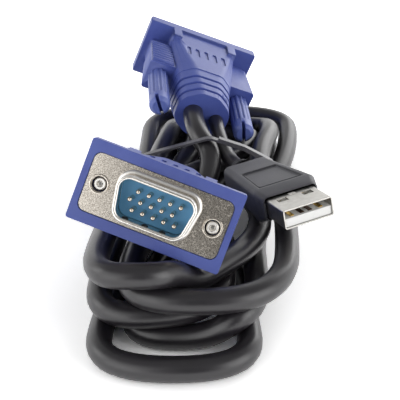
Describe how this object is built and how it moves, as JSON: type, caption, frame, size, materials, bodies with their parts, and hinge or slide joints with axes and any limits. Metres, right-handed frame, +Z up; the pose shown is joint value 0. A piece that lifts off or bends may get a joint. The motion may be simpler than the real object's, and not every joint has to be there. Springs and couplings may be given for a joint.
{
  "type": "kvm cable",
  "caption": "Hank of round black cable for a keyboard, video and mouse switch, with a blue fifteen-pin video plug at each end and a flat data plug on a thin second lead.",
  "frame": {"origin": "on the ground under the middle of the whole lying cable", "axes": "+Y along the hank, from the front loops to the computer-end plug; +Z up; +X to the right, towards the data plug"},
  "size_m": [0.0576, 0.1342, 0.0433],
  "materials": {
    "hood_vinyl": "moulded vinyl, satin",
    "knob_vinyl": "moulded vinyl, satin",
    "nickel_steel": "nickel plated, fine grain",
    "insulator_blue": "moulded, satin",
    "contact_metal": "thin gold plate",
    "inner_mould": "moulded",
    "screw_steel": "turned, nickel plated",
    "grip_vinyl": "moulded vinyl, satin",
    "bright_steel": "bright nickel plate",
    "white_insulator": "moulded",
    "cable_vinyl": "extruded vinyl, satin",
    "tie_plastic": "plastic-coated wire tie"
  },
  "bodies": {
    "cable": {"switch_hood": "hood_vinyl", "switch_shell": "nickel_steel", "switch_back_shell": "nickel_steel", "switch_insulator": "insulator_blue", "switch_pins": "contact_metal", "switch_inner_mould": "inner_mould", "computer_hood": "hood_vinyl", "computer_shell": "nickel_steel", "computer_back_shell": "nickel_steel", "computer_insulator": "insulator_blue", "computer_pins": "contact_metal", "computer_inner_mould": "inner_mould", "data_grip": "grip_vinyl", "data_shell": "bright_steel", "data_insulator": "white_insulator", "data_contacts": "contact_metal", "data_inner_mould": "inner_mould", "cable_hank": "cable_vinyl", "switch_lead": "cable_vinyl", "computer_lead": "cable_vinyl", "data_lead": "cable_vinyl", "twist_tie": "tie_plastic"},
    "switch_left_thumbscrew": {"switch_left_screw": "screw_steel", "switch_left_knob": "knob_vinyl"},
    "switch_right_thumbscrew": {"switch_right_screw": "screw_steel", "switch_right_knob": "knob_vinyl"},
    "computer_left_thumbscrew": {"computer_left_screw": "screw_steel", "computer_left_knob": "knob_vinyl"},
    "computer_right_thumbscrew": {"computer_right_screw": "screw_steel", "computer_right_knob": "knob_vinyl"}
  },
  "joints": [
    {"name": "switch_left_turn", "type": "hinge", "parent": "cable", "child": "switch_left_thumbscrew", "pos_m": [-0.02077, -0.0301, 0.02864], "axis": [-0.0642, -0.9183, 0.3907], "continuous": true},
    {"name": "switch_right_turn", "type": "hinge", "parent": "cable", "child": "switch_right_thumbscrew", "pos_m": [0.00255, -0.03495, 0.02106], "axis": [-0.0642, -0.9183, 0.3907], "continuous": true},
    {"name": "computer_left_turn", "type": "hinge", "parent": "cable", "child": "computer_left_thumbscrew", "pos_m": [0.00951, 0.04697, 0.01698], "axis": [-0.0695, 0.9941, 0.0837], "continuous": true},
    {"name": "computer_right_turn", "type": "hinge", "parent": "cable", "child": "computer_right_thumbscrew", "pos_m": [-0.01356, 0.04457, 0.02631], "axis": [-0.0695, 0.9941, 0.0837], "continuous": true}
  ]
}
